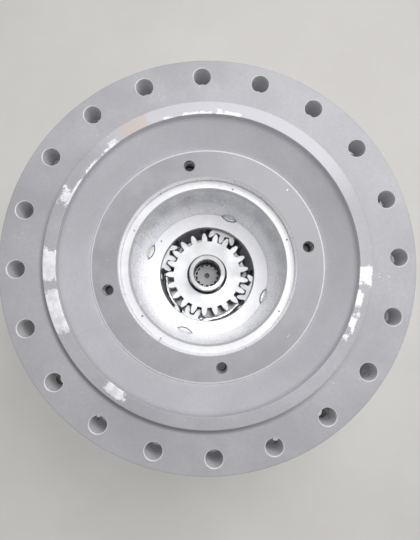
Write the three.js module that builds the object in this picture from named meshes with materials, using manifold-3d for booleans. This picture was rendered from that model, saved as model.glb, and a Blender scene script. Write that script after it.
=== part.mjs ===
// Three-stage planetary travel gearbox of a tracked excavator, without its hydraulic motor.
// It stands on its end cover with the motor side up. Millimetres, +Z up, origin at the centre of the foot.
// The spindle bolts to the track frame and stays still. The sprocket hub, its ring gears and its cover turn.
import * as THREE from "three";
import { mergeVertices } from "three/addons/utils/BufferGeometryUtils.js";
import Module from "manifold-3d";

const wasm = await Module();
wasm.setup();

const GAP = 0.3; // between pieces that touch on the real gearbox
const DEG = Math.PI / 180;

// Segments of a full turn
const ROUND = 28;
const SMALL_ROUND = 16;
const BOLT_ROUND = 8;

// Spindle
const FLANGE_Z = 510; // face that meets the track frame
const FLANGE_R = 305;
const FLANGE_THICK = 50;
const FLANGE_STEP = { r: 263, thick: 34 }; // thinner inside this radius, which leaves room for the rim of the hub
const FLANGE_BOLTS = { count: 20, circleR: 280, holeR: 13, phase: 1.8 };
const PILOT = { inner: 219, outer: 238, height: 10 };
const HUB_FACE = { z: FLANGE_Z - 32, r: 178 };
const RECESS = { wallR: 217, wallZ: FLANGE_Z - 1, footR: HUB_FACE.r + 1.5, footZ: HUB_FACE.z - 1.5 };
// Unevenly spaced, so that the motor fits only one way round
const MOTOR_BOLTS = { angles: [10.5, 100.5, 194, 277.7], circleR: 157, holeR: 7, depth: 32 };
const MOTOR_SEAT = { z: FLANGE_Z - 52, r: 137 };
const MOTOR_BORE = { topR: 122.5, footR: 115.5 };
const NOSE = { z: 307, r: 160 };
const SPINDLE_BODY_R = 206;

// Floating seal between the spindle and the hub, mirrored about its own plane
const SEAL = { z: 455, ringInner: 210, ringOuter: 222, wallR: 232.5, depth: 18, face: 0.2 };
const SKIRT_R = 243;

// Main bearings
const BEARING = { width: 42, inner: NOSE.r, outer: 202, ballR: 10.8, balls: 16 };
const BEARING_TOPS = { upper: 430, lower: NOSE.z + BEARING.width };

// Sprocket hub and the ring gears bolted under it
const HUB = { lipZ: 470, lipR: 257, flangeTop: 424, flangeLow: 394, flangeR: 325, bodyR: 238, lowZ: 286 };
const SPROCKET_BOLTS = { count: 24, circleR: 300, holeR: 10, phase: 7.5 };
const RING_SPLIT_Z = 160;
const COVER = { top: 22, rimZ: 12, footR: 198 };
const COVER_BOLTS = { count: 12, circleR: 220, shankR: 8, headR: 14, phase: 15 };
const COVER_PLUGS = { circleR: 150, r: 15 };

// Gear stages: teeth of sun, planets and ring
const FINAL = { module: 7, sun: 21, planet: 17, ring: 55, count: 4, phase: 68.5, top: 283, low: 195 };
const SECOND = { module: 6, sun: 21, planet: 21, ring: 63, count: 3, phase: 30, top: 139.5, low: 96.5 };
const FIRST = { module: 6, sun: 15, planet: 24, ring: 63, count: 3, phase: 90, top: 54, low: 26 };

const FINAL_PIN_R = 23.5;
const SECOND_PIN_R = 18;
const FIRST_PIN_R = 18;
const FINAL_CARRIER = { z: NOSE.z - GAP, platesR: 176, openingR: 90, plateLow: 286, footTop: 192, footZ: 168 };
const SECOND_CARRIER = { z: 158, plateLow: 142, footTop: 94, footZ: 82, r: 176, openingR: 72, boreR: 52 };
const FIRST_CARRIER = { z: 72, low: 56, r: 146, boreR: 40 };
const SUN_COLLAR = { top: 193, low: 181, r: 85.5 };
const CARRIER_BOLT = { circleR: 138, r: 10, headR: 15, headHeight: 14, deep: 350 };

// Input shaft and the sleeve that takes the motor's shaft
const SHAFT = { r: 21, splineR: 22.3, splineRootR: 19.1, splineTeeth: 14, top: 267, splineLow: 236, low: 25 };
const SLEEVE = { top: 332, low: 238, outer: 33.6, inner: 25.4, ledge: 256, innerLow: 22.8 };

const paint = new THREE.MeshStandardMaterial({ color: 0xa9a9ad, roughness: 0.55, metalness: 0.0 });
const steel = new THREE.MeshStandardMaterial({ color: 0xd8d8da, roughness: 0.3, metalness: 0.9 });
const gearSteel = new THREE.MeshStandardMaterial({ color: 0xb9bcc0, roughness: 0.35, metalness: 0.9 });
const castIron = new THREE.MeshStandardMaterial({ color: 0x6e6e70, roughness: 0.7, metalness: 0.5 });
const blackSteel = new THREE.MeshStandardMaterial({ color: 0x2c2c2e, roughness: 0.5, metalness: 0.6 });
const brass = new THREE.MeshStandardMaterial({ color: 0xb08d4a, roughness: 0.4, metalness: 0.8 });
const rubber = new THREE.MeshStandardMaterial({ color: 0x161616, roughness: 0.9, metalness: 0.0 });

// ---- Shape helpers ----

// A geometry as a manifold-3d solid.
function toSolid(geometry) {
  const plain = new THREE.BufferGeometry();
  plain.setAttribute("position", geometry.getAttribute("position"));
  plain.setIndex(geometry.index);
  const merged = mergeVertices(plain, 1e-3);
  const corners = merged.index.array;
  const kept = [];
  for (let i = 0; i < corners.length; i += 3) {
    const [a, b, c] = [corners[i], corners[i + 1], corners[i + 2]];
    if (a !== b && b !== c && c !== a) kept.push(a, b, c);
  }
  const mesh = new wasm.Mesh({
    numProp: 3,
    vertProperties: merged.attributes.position.array,
    triVerts: new Uint32Array(kept),
  });
  return new wasm.Manifold(mesh);
}

// A manifold-3d solid as a geometry.
function toGeometry(solid) {
  const mesh = solid.getMesh();
  const points = new Float32Array(mesh.numVert * 3);
  for (let i = 0; i < mesh.numVert; i++) {
    points.set(mesh.vertProperties.subarray(i * mesh.numProp, i * mesh.numProp + 3), i * 3);
  }
  const geometry = new THREE.BufferGeometry();
  geometry.setAttribute("position", new THREE.BufferAttribute(points, 3));
  geometry.setIndex(new THREE.BufferAttribute(mesh.triVerts, 1));
  geometry.computeVertexNormals();
  return geometry;
}

// Twice the signed area of an outline.
function turn(outline) {
  return outline.reduce((sum, [x, y], i) => {
    const [u, v] = outline[(i + 1) % outline.length];
    return sum + x * v - u * y;
  }, 0);
}

// A solid turned about Z from a closed outline of [radius, height] points.
function turned(outline, segments = ROUND) {
  const ordered = turn(outline) > 0 ? outline : [...outline].reverse();
  const points = [...ordered, ordered[0]].map(([r, z]) => new THREE.Vector2(r, z));
  const geometry = new THREE.LatheGeometry(points, segments);
  geometry.rotateX(Math.PI / 2);
  return toSolid(geometry);
}

// A solid of one section between two heights. Outlines are lists of [x, y].
function prism(outline, low, high, holes = []) {
  const shape = new THREE.Shape(outline.map(([x, y]) => new THREE.Vector2(x, y)));
  shape.holes = holes.map((hole) => new THREE.Path(hole.map(([x, y]) => new THREE.Vector2(x, y))));
  const geometry = new THREE.ExtrudeGeometry(shape, { depth: high - low, bevelEnabled: false });
  geometry.translate(0, 0, low);
  return toSolid(geometry);
}

function polar(radius, degrees) {
  return [radius * Math.cos(degrees * DEG), radius * Math.sin(degrees * DEG)];
}

function circle(radius, segments, [x, y] = [0, 0]) {
  return Array.from({ length: segments }, (_, i) => {
    const [dx, dy] = polar(radius, (i * 360) / segments);
    return [x + dx, y + dy];
  });
}

function rod(radius, low, high, segments, centre) {
  return prism(circle(radius, segments, centre), low, high);
}

// The angles of a pattern with count places.
function places(count, phase) {
  return Array.from({ length: count }, (_, i) => phase + (i * 360) / count);
}

// The outline of a toothed wheel. An inner one is the hole of a ring gear.
function teeth(count, module, phase, inner = false) {
  const pitchR = (module * count) / 2;
  const tipR = pitchR + module * (inner ? -0.95 : 0.95);
  const rootR = pitchR + module * (inner ? 1.25 : -1.25);
  const tipHalf = (0.33 * module) / tipR / DEG;
  const rootHalf = (1.0 * module) / rootR / DEG;
  return places(count, phase).flatMap((a) => [
    polar(rootR, a - rootHalf),
    polar(tipR, a - tipHalf),
    polar(tipR, a + tipHalf),
    polar(rootR, a + rootHalf),
  ]);
}

// ---- Gear stages ----

// Angles of the planets and of the teeth that put sun, planets and ring in mesh. The sun has a gap at planet 1.
function meshing(stage) {
  const pitch = { sun: 360 / stage.sun, planet: 360 / stage.planet, ring: 360 / stage.ring };
  const sun = stage.phase + pitch.sun / 2;
  const angles = places(stage.count, stage.phase);
  const planets = angles.map((a) => {
    const share = (a - sun) / pitch.sun;
    return a + 180 + (share - 0.5) * pitch.planet;
  });
  const offset = ((planets[0] - angles[0]) / pitch.planet + 0.5) * pitch.ring;
  return { angles, sun, planets, ring: angles[0] + offset };
}

function orbit(stage) {
  return (stage.module * (stage.sun + stage.planet)) / 2;
}

function tipRadius(count, module) {
  return (module * (count + 2)) / 2;
}

function planetSolid(stage, centre, phase, boreR) {
  const outline = teeth(stage.planet, stage.module, phase);
  const wheel = prism(outline, stage.low, stage.top, [circle(boreR, SMALL_ROUND)]);
  return wheel.translate([...centre, 0]);
}

function ringSolid(stage, low, high) {
  const hole = teeth(stage.ring, stage.module, meshing(stage).ring, true);
  const ring = prism(circle(HUB.bodyR, ROUND), low, high, [hole]);
  return boltHoles(ring, low - 1, high + 1);
}

// Cuts the holes of the long cover bolts.
function boltHoles(solid, low, high) {
  return places(COVER_BOLTS.count, COVER_BOLTS.phase).reduce((left, a) => {
    const centre = polar(COVER_BOLTS.circleR, a);
    return left.subtract(rod(COVER_BOLTS.shankR, low, high, BOLT_ROUND, centre));
  }, solid);
}

// ---- Assembly ----

const gearbox = new THREE.Group();
gearbox.name = "travel_gearbox";

function add(name, solid, material) {
  const mesh = new THREE.Mesh(toGeometry(solid), material);
  mesh.name = name;
  gearbox.add(mesh);
}

// Spindle: frame flange, pilot ring, motor seat, seal pocket and the nose that carries the bearings.
function spindle() {
  const flangeLow = FLANGE_Z - FLANGE_THICK;
  const stepZ = FLANGE_Z - FLANGE_STEP.thick;
  const pocketZ = SEAL.z + SEAL.depth;
  const shoulder = { z: BEARING_TOPS.upper, r: 176 };
  const outline = [
    [MOTOR_BORE.footR, NOSE.z],
    [NOSE.r, NOSE.z],
    [NOSE.r, shoulder.z],
    [shoulder.r, shoulder.z],
    [SPINDLE_BODY_R, SEAL.z - SEAL.depth],
    [SPINDLE_BODY_R, pocketZ],
    [SEAL.wallR, pocketZ],
    [SEAL.wallR, SEAL.z + 2],
    [SKIRT_R, SEAL.z + 2],
    [SKIRT_R, stepZ],
    [FLANGE_STEP.r, stepZ],
    [FLANGE_STEP.r, flangeLow],
    [FLANGE_R, flangeLow],
    [FLANGE_R, FLANGE_Z],
    [PILOT.outer, FLANGE_Z],
    [PILOT.outer, FLANGE_Z + PILOT.height],
    [PILOT.inner, FLANGE_Z + PILOT.height],
    [RECESS.wallR, RECESS.wallZ],
    [RECESS.footR, RECESS.footZ],
    [HUB_FACE.r, HUB_FACE.z],
    [MOTOR_SEAT.r, HUB_FACE.z],
    [MOTOR_SEAT.r, MOTOR_SEAT.z],
    [MOTOR_BORE.topR, MOTOR_SEAT.z],
  ];
  let solid = turned(outline);
  for (const a of places(FLANGE_BOLTS.count, FLANGE_BOLTS.phase)) {
    const centre = polar(FLANGE_BOLTS.circleR, a);
    solid = solid.subtract(rod(FLANGE_BOLTS.holeR, flangeLow - 1, FLANGE_Z + 1, BOLT_ROUND, centre));
  }
  for (const a of MOTOR_BOLTS.angles) {
    const centre = polar(MOTOR_BOLTS.circleR, a);
    solid = solid.subtract(
      rod(MOTOR_BOLTS.holeR, HUB_FACE.z - MOTOR_BOLTS.depth, HUB_FACE.z + 1, BOLT_ROUND, centre),
    );
  }
  for (const a of places(FINAL.count, FINAL.phase + 45)) {
    const centre = polar(CARRIER_BOLT.circleR, a);
    solid = solid.subtract(rod(CARRIER_BOLT.r, NOSE.z - 1, CARRIER_BOLT.deep, BOLT_ROUND, centre));
  }
  add("spindle_flange", solid, paint);
}

// A carrier's body: a turned blank with a pocket and a pin hole for each planet.
function carrierBody(blank, stage, pinR, pocket, top, foot) {
  const pocketR = tipRadius(stage.planet, stage.module) + 3;
  return places(stage.count, stage.phase).reduce((left, a) => {
    const centre = polar(orbit(stage), a);
    const room = rod(pocketR, pocket.low, pocket.high, SMALL_ROUND, centre);
    const hole = rod(pinR, foot - 1, top + 1, SMALL_ROUND, centre);
    return left.subtract(room).subtract(hole);
  }, blank);
}

// Final stage: the carrier is bolted to the nose of the spindle, so its planets turn on fixed pins.
function finalStage() {
  const { z, platesR, openingR, plateLow, footTop, footZ } = FINAL_CARRIER;
  const blank = turned([
    [openingR, footZ],
    [platesR, footZ],
    [platesR, z],
    [openingR, z],
  ]);
  const pocket = { low: footTop, high: plateLow };
  let carrier = carrierBody(blank, FINAL, FINAL_PIN_R, pocket, z, footZ);
  const headZ = footZ + 2;
  places(FINAL.count, FINAL.phase + 45).forEach((a, i) => {
    const centre = polar(CARRIER_BOLT.circleR, a);
    const room = CARRIER_BOLT.headHeight + 3;
    carrier = carrier
      .subtract(rod(CARRIER_BOLT.r, footZ - 1, z + 1, BOLT_ROUND, centre))
      .subtract(rod(CARRIER_BOLT.headR + 1, footZ - 1, footZ + room, SMALL_ROUND, centre));
    const headTop = footZ + room - GAP;
    const bolt = rod(CARRIER_BOLT.headR, headZ, headTop, SMALL_ROUND, centre)
      .add(rod(CARRIER_BOLT.r - GAP, headTop - 1, CARRIER_BOLT.deep - 2, BOLT_ROUND, centre))
      .subtract(rod(7, headZ - 1, headZ + 8, 6, centre));
    add(`carrier_bolt_${i + 1}`, bolt, blackSteel);
  });
  add("final_carrier", carrier, steel);

  const mesh = meshing(FINAL);
  mesh.angles.forEach((a, i) => {
    const centre = polar(orbit(FINAL), a);
    const pin = rod(FINAL_PIN_R - GAP, footZ + 2, z - 0.5, SMALL_ROUND, centre);
    add(`final_pin_${i + 1}`, pin, gearSteel);
    add(`final_planet_${i + 1}`, planetSolid(FINAL, centre, mesh.planets[i], FINAL_PIN_R + 0.2), gearSteel);
  });

  const sunTop = 298;
  const neckLow = SECOND_CARRIER.plateLow + 1;
  const bore = circle(37.5, SMALL_ROUND);
  const wheel = prism(teeth(FINAL.sun, FINAL.module, mesh.sun), FINAL.low, sunTop, [bore]);
  const neck = prism(circle(SECOND_CARRIER.boreR - GAP, ROUND), neckLow, FINAL.low + 1, [bore]);
  const collar = prism(circle(SUN_COLLAR.r, ROUND), SUN_COLLAR.low, SUN_COLLAR.top, [bore]);
  add("final_sun", wheel.add(neck).add(collar), gearSteel);
  add("final_ring_gear", ringSolid(FINAL, RING_SPLIT_Z + GAP / 2, HUB.lowZ - GAP), castIron);
}

// Second stage: its carrier drives the final sun.
function secondStage() {
  const { z, plateLow, footTop, footZ, r, openingR, boreR } = SECOND_CARRIER;
  const blank = turned([
    [boreR, plateLow],
    [openingR, plateLow],
    [openingR, footZ],
    [r, footZ],
    [r, z],
    [boreR, z],
  ]);
  const pocket = { low: footTop, high: plateLow };
  add("second_carrier", carrierBody(blank, SECOND, SECOND_PIN_R, pocket, z, footZ), steel);

  const mesh = meshing(SECOND);
  mesh.angles.forEach((a, i) => {
    const centre = polar(orbit(SECOND), a);
    const pin = rod(SECOND_PIN_R - GAP, footZ + 1, z - 1, SMALL_ROUND, centre);
    add(`second_pin_${i + 1}`, pin, gearSteel);
    add(`second_planet_${i + 1}`, planetSolid(SECOND, centre, mesh.planets[i], SECOND_PIN_R + 0.2), gearSteel);
  });

  const bore = circle(28, SMALL_ROUND);
  const wheel = prism(teeth(SECOND.sun, SECOND.module, mesh.sun), 90, SECOND.top, [bore]);
  const neck = prism(circle(FIRST_CARRIER.boreR - GAP, SMALL_ROUND), FIRST_CARRIER.low + 1, 91, [bore]);
  add("second_sun", wheel.add(neck), gearSteel);
  add("input_ring_gear", ringSolid(SECOND, COVER.top + GAP, RING_SPLIT_Z - GAP / 2), castIron);
}

// First stage: a one-sided carrier with its pins forged on, and a sun cut on the input shaft.
function firstStage() {
  const { z, low, r, boreR } = FIRST_CARRIER;
  const mesh = meshing(FIRST);
  let carrier = prism(circle(r, ROUND), low, z, [circle(boreR, SMALL_ROUND)]);
  mesh.angles.forEach((a, i) => {
    const centre = polar(orbit(FIRST), a);
    carrier = carrier.add(rod(FIRST_PIN_R, FIRST.low - 1, low + 1, SMALL_ROUND, centre));
    add(`first_planet_${i + 1}`, planetSolid(FIRST, centre, mesh.planets[i], FIRST_PIN_R + 0.5), gearSteel);
  });
  add("first_carrier", carrier, steel);

  const sunTop = FIRST.top + 1;
  const spline = places(SHAFT.splineTeeth, 0).flatMap((a) => [
    polar(SHAFT.splineRootR, a - 6.4),
    polar(SHAFT.splineR, a - 4),
    polar(SHAFT.splineR, a + 4),
    polar(SHAFT.splineRootR, a + 6.4),
  ]);
  const shaft = prism(teeth(FIRST.sun, FIRST.module, mesh.sun), SHAFT.low, sunTop)
    .add(rod(SHAFT.r, sunTop - 1, SHAFT.splineLow, SMALL_ROUND))
    .add(prism(spline, SHAFT.splineLow - 1, SHAFT.top))
    .subtract(rod(3.5, SHAFT.top - 12, SHAFT.top + 1, BOLT_ROUND));
  add("input_shaft", shaft, gearSteel);

  const sleeve = turned([
    [SLEEVE.innerLow, SLEEVE.low],
    [SLEEVE.outer, SLEEVE.low],
    [SLEEVE.outer, SLEEVE.top],
    [SLEEVE.inner, SLEEVE.top],
    [SLEEVE.inner, SLEEVE.ledge],
    [SLEEVE.innerLow, SLEEVE.ledge],
  ]);
  add("coupling_sleeve", sleeve, gearSteel);
}

// One angular contact ball bearing: two races, and the balls in their cage.
function bearing(name, top) {
  const low = top - BEARING.width;
  const middle = (top + low) / 2;
  const ballCircleR = (BEARING.inner + BEARING.outer) / 2;
  const grooveR = BEARING.ballR + 1.4;
  const inner = [
    [BEARING.inner + GAP, low],
    [ballCircleR - grooveR, low],
    [ballCircleR - grooveR, middle],
    [ballCircleR - 7, top - GAP],
    [BEARING.inner + GAP, top - GAP],
  ];
  const outer = inner.map(([r, z]) => [2 * ballCircleR - r, top + low - z]);
  add(`${name}_inner_race`, turned(inner), steel);
  add(`${name}_outer_race`, turned(outer), steel);
  const cage = turned(
    [
      [ballCircleR - 2, middle - 6],
      [ballCircleR + 2, middle - 6],
      [ballCircleR + 2, middle + 6],
      [ballCircleR - 2, middle + 6],
    ],
    BEARING.balls,
  );
  const set = places(BEARING.balls, 0).reduce((whole, a) => {
    const ball = new THREE.SphereGeometry(BEARING.ballR, 6, 3);
    ball.rotateX(Math.PI / 2);
    return whole.add(toSolid(ball).translate([...polar(ballCircleR, a), middle]));
  }, cage);
  add(`${name}_ball_set`, set, brass);
}

// Floating seal: two lapped metal rings, each held by a rubber ring in its own pocket.
function seals() {
  const rubberR = (SEAL.wallR - SEAL.ringOuter) / 2 - GAP;
  const rubberCircleR = (SEAL.wallR + SEAL.ringOuter) / 2;
  for (const [name, side] of [["fixed", 1], ["rotating", -1]]) {
    const at = (r, up) => [r, SEAL.z + side * up];
    const ring = turned([
      at(SEAL.ringInner, SEAL.face),
      at(SEAL.ringOuter, SEAL.face),
      at(SEAL.ringOuter, 15),
      at(SEAL.ringInner, 15),
    ]);
    add(`${name}_seal_ring`, ring, steel);
    const section = circle(rubberR, 4, at(rubberCircleR, 10));
    add(`${name}_seal_rubber`, turned(section), rubber);
  }
}

// Sprocket hub: the turning housing, with the flange that the sprocket bolts to.
function sprocketHub() {
  const seatR = BEARING.outer + GAP;
  const shoulderR = 192;
  const outline = [
    [seatR, HUB.lowZ],
    [HUB.bodyR, HUB.lowZ],
    [HUB.bodyR, HUB.flangeLow],
    [HUB.flangeR, HUB.flangeLow],
    [HUB.flangeR, HUB.flangeTop],
    [HUB.lipR, HUB.flangeTop + 6],
    [HUB.lipR, HUB.lipZ],
    [SKIRT_R + 3, HUB.lipZ],
    [SKIRT_R + 3, SEAL.z - 2],
    [SEAL.wallR, SEAL.z - 2],
    [SEAL.wallR, SEAL.z - SEAL.depth],
    [SPINDLE_BODY_R + 3, SEAL.z - SEAL.depth],
    [SPINDLE_BODY_R + 3, BEARING_TOPS.upper + 2],
    [seatR, BEARING_TOPS.upper + 2],
    [seatR, BEARING_TOPS.upper - BEARING.width - GAP],
    [shoulderR, BEARING_TOPS.upper - BEARING.width - GAP],
    [shoulderR, BEARING_TOPS.lower + GAP],
    [seatR, BEARING_TOPS.lower + GAP],
  ];
  let solid = turned(outline);
  for (const a of places(SPROCKET_BOLTS.count, SPROCKET_BOLTS.phase)) {
    const centre = polar(SPROCKET_BOLTS.circleR, a);
    solid = solid.subtract(
      rod(SPROCKET_BOLTS.holeR, HUB.flangeLow - 1, HUB.flangeTop + 9, BOLT_ROUND, centre),
    );
  }
  add("sprocket_hub", boltHoles(solid, HUB.lowZ - 1, HUB.lowZ + 24), paint);
}

// End cover with its long bolts, oil plugs and the thrust pad under the input shaft.
function endCover() {
  const padR = 20;
  let cover = turned([
    [0, 0],
    [COVER.footR - 3, 0],
    [COVER.footR, 3],
    [COVER.footR, COVER.rimZ],
    [HUB.bodyR, COVER.rimZ],
    [HUB.bodyR, COVER.top],
    [padR + GAP, COVER.top],
    [padR + GAP, COVER.top - 4],
    [0, COVER.top - 4],
  ]);
  cover = boltHoles(cover, COVER.rimZ - 1, COVER.top + 1);
  for (const [name, a] of [["fill_plug", 90], ["drain_plug", 270]]) {
    const centre = polar(COVER_PLUGS.circleR, a);
    cover = cover.subtract(rod(COVER_PLUGS.r + GAP, -1, COVER.top + 1, SMALL_ROUND, centre));
    const plug = rod(COVER_PLUGS.r, 2, COVER.top - 2, SMALL_ROUND, centre);
    add(name, plug.subtract(rod(8, 1, 10, 6, centre)), blackSteel);
  }
  add("end_cover", cover, paint);
  add("thrust_pad", rod(padR, COVER.top - 3.7, COVER.top + 2.4, SMALL_ROUND), brass);
  places(COVER_BOLTS.count, COVER_BOLTS.phase).forEach((a, i) => {
    const centre = polar(COVER_BOLTS.circleR, a);
    const headZ = COVER.rimZ - 10;
    const shank = rod(COVER_BOLTS.shankR - GAP, COVER.rimZ - 1, HUB.lowZ + 20, BOLT_ROUND, centre);
    const head = rod(COVER_BOLTS.headR, headZ, COVER.rimZ - GAP, 6, centre);
    add(`cover_bolt_${i + 1}`, shank.add(head), blackSteel);
  });
}

spindle();
seals();
bearing("upper", BEARING_TOPS.upper);
bearing("lower", BEARING_TOPS.lower);
finalStage();
secondStage();
firstStage();
sprocketHub();
endCover();

export default gearbox;
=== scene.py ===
"""The looks of a planetary travel gearbox without its motor, standing on its end cover, motor side up.

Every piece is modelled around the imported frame. Sizes in the outlines are millimetres, as on a drawing,
and are turned into metres when a mesh is made.
"""

import math

import bpy
import bmesh
import numpy as np
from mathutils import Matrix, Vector
from mathutils.geometry import tessellate_polygon


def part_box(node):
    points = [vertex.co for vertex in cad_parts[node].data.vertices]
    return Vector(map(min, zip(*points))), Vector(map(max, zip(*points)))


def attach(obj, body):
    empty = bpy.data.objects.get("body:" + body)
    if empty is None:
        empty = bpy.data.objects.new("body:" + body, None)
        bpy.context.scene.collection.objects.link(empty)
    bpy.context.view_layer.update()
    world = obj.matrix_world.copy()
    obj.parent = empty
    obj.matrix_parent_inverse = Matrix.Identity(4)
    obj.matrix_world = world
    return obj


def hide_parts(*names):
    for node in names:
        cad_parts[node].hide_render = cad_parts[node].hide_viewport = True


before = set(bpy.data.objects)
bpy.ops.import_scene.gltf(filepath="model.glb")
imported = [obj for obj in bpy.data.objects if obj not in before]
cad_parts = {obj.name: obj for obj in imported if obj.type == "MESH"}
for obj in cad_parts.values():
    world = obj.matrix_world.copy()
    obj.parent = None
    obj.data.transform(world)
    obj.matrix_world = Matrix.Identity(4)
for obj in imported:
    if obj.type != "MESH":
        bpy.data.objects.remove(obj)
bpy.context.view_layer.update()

MM = 0.001
FINE = 256  # segments of a full turn on large rounds
MEDIUM = 96
SMALL = 40
SHARP = math.radians(32)  # edges sharper than this stay hard
RADIAN = 57.3  # degrees
FACE_GAP = 0.3  # mm kept between pieces that touch on the real gearbox

# Gear trains, as on the frame: module in mm, teeth, planet count and the angle of planet 1 in degrees,
# then the radius of a planet's pin in mm and the number of its rollers
FINAL = {"module": 7, "sun": 21, "planet": 17, "ring": 55, "count": 4, "phase": 68.5,
         "pin": 22.9, "rollers": 40}
SECOND = {"module": 6, "sun": 21, "planet": 21, "ring": 63, "count": 3, "phase": 30,
          "pin": 17.7, "rollers": 32}
FIRST = {"module": 6, "sun": 15, "planet": 24, "ring": 63, "count": 3, "phase": 90,
         "pin": 17.9, "rollers": 32}
ROLLER_R = 1.5
ROLLER_LANE = 1.7  # mm from a pin to the middle of a roller, and from there to the planet
PRESSURE_ANGLE = math.radians(20)
ADDENDUM = 0.95  # modules
DEDENDUM = 1.25
THINNING = 0.075  # modules taken off each flank, which leaves the backlash
ROOT_EASE = 0.22  # modules of rounding at the root
TIP_EASE = 0.06

# The spindle's well and flange, in mm
PILOT = {"inner": 219, "outer": 238, "height": 10}
FLANGE_THICK = 50
RIM_ROOM = {"radius": 263, "thick": 34}  # inside this radius the flange is thinner, for the rim of the hub
MOTOR_FACE_DEPTH = 32
MOTOR_SEAT_DEPTH = 52

# Bolt patterns: circle and hole radius in mm, and the angle of the first hole in degrees
FLANGE_BOLTS = {"count": 20, "circle": 280, "radius": 13, "phase": 1.8}
MOTOR_BOLT_ANGLES = (10.5, 100.5, 194, 277.7)
MOTOR_BOLT_CIRCLE = 157
MOTOR_HOLE = {"radius": 8.0, "deep": 30, "point": 4.5, "pitch": 2.0}
SPROCKET_BOLTS = {"count": 24, "circle": 300, "radius": 10, "phase": 7.5}
COVER_BOLTS = {"count": 12, "circle": 220, "radius": 8, "phase": 15}
CARRIER_BOLTS = {"count": 4, "circle": 138, "radius": 10, "phase": 113.5}
SOCKET_R = 8.1  # over the corners of a hexagon socket
SOCKET_DEEP = 8
COVER_RIM_Z = 12  # the heads of the cover bolts reach up to here


# ---- Frame sizes in millimetres ----

def low_z(node):
    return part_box(node)[0].z / MM


def high_z(node):
    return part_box(node)[1].z / MM


def heights(node):
    return low_z(node), high_z(node)


def outer_r(node):
    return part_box(node)[1].x / MM


FLANGE_R = outer_r("spindle_flange")
RING_Z = high_z("spindle_flange")
FLANGE_Z = RING_Z - PILOT["height"]
MOTOR_FACE_Z = FLANGE_Z - MOTOR_FACE_DEPTH
MOTOR_SEAT_Z = FLANGE_Z - MOTOR_SEAT_DEPTH
NOSE_Z = low_z("spindle_flange")


# ---- Outlines ----

def polar(radius, degrees):
    return radius * math.cos(math.radians(degrees)), radius * math.sin(math.radians(degrees))


def places(pattern):
    """The angles of a pattern of equal steps."""
    return [pattern["phase"] + i * 360 / pattern["count"] for i in range(pattern["count"])]


def spots(pattern):
    """The centres of a pattern's holes."""
    return [polar(pattern["circle"], angle) for angle in places(pattern)]


def circle(radius, segments, centre=(0, 0)):
    spokes = [polar(radius, i * 360 / segments) for i in range(segments)]
    return [(centre[0] + x, centre[1] + y) for x, y in spokes]


def eased(points):
    """An outline whose corners are cut or rounded. A point is (r, z), (r, z, size) for a chamfer,
    or (r, z, size, steps) for a fillet of that many steps."""
    done = []
    for i, point in enumerate(points):
        here = np.array(point[:2], float)
        if len(point) == 2:
            done.append(tuple(here))
            continue
        size = point[2]
        steps = point[3] if len(point) > 3 else 1
        before = np.array(points[i - 1][:2], float) - here
        after = np.array(points[(i + 1) % len(points)][:2], float) - here
        start = here + before / np.linalg.norm(before) * size
        end = here + after / np.linalg.norm(after) * size
        for k in range(steps + 1):
            t = k / steps
            done.append(tuple((1 - t) ** 2 * start + 2 * t * (1 - t) * here + t * t * end))
    return supported(done)


def supported(outline, reach=0.4):
    """The outline with points close to its shallow corners, which keep smooth shading near the corners."""
    points = np.array(outline, float)
    ahead = np.roll(points, -1, axis=0) - points
    length = np.linalg.norm(ahead, axis=1)
    bearing = np.unwrap(np.arctan2(ahead[:, 1], ahead[:, 0]))
    turn = np.abs((bearing - np.roll(bearing, 1) + math.pi) % (2 * math.pi) - math.pi)
    shallow = (turn > 0.01) & (turn < SHARP + 0.2)
    done = []
    for i, point in enumerate(points):
        done.append(tuple(point))
        step = ahead[i] / length[i] * reach
        if length[i] > 5 * reach:
            if shallow[i]:
                done.append(tuple(point + step))
            if shallow[(i + 1) % len(points)]:
                done.append(tuple(point + ahead[i] - step))
    return done


def involute(angle):
    return math.tan(angle) - angle


def gear_outline(teeth, module, phase, inner=False):
    """The outline of a gear with involute flanks, or of the hole in a ring gear.
    Its first tooth, or space, is at the angle phase."""
    pitch_r = module * teeth / 2
    base_r = pitch_r * math.cos(PRESSURE_ANGLE)
    root_r = pitch_r - module * (ADDENDUM if inner else DEDENDUM)
    tip_r = pitch_r + module * (DEDENDUM if inner else ADDENDUM)
    half_pitch = math.pi / (2 * teeth) + (1 if inner else -1) * THINNING * module / pitch_r

    def half_width(radius):
        if radius <= base_r:
            return half_pitch + involute(PRESSURE_ANGLE)
        return half_pitch + involute(PRESSURE_ANGLE) - involute(math.acos(base_r / radius))

    ease = ROOT_EASE * module
    tip_ease = TIP_EASE * module
    flank = np.linspace(root_r + ease, tip_r - tip_ease, 7)
    step = 2 * math.pi / teeth
    root_half = min(half_width(root_r) + ease / root_r, step / 2 * 0.98)
    side = [(root_r, root_half), (root_r + 0.3 * ease, half_width(root_r) + 0.3 * ease / root_r)]
    side += [(r, half_width(r)) for r in flank]
    side += [(tip_r, half_width(tip_r) - tip_ease / tip_r)]
    outline = []
    for k in range(teeth):
        middle = math.radians(phase) + k * step
        outline += [(r, middle - a) for r, a in side]
        outline += [(r, middle + a) for r, a in reversed(side)]
    return [(r * math.cos(a), r * math.sin(a)) for r, a in outline]


def spline_outline(teeth, root_r, tip_r, phase=0.0):
    """A shaft or hole with straight-sided round-cornered splines."""
    step = 360 / teeth
    shape = ((-0.27, root_r), (-0.22, root_r + 0.2 * (tip_r - root_r)), (-0.17, tip_r), (0.17, tip_r),
             (0.22, root_r + 0.2 * (tip_r - root_r)), (0.27, root_r))
    return [polar(r, phase + (k + share) * step) for k in range(teeth) for share, r in shape]


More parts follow.
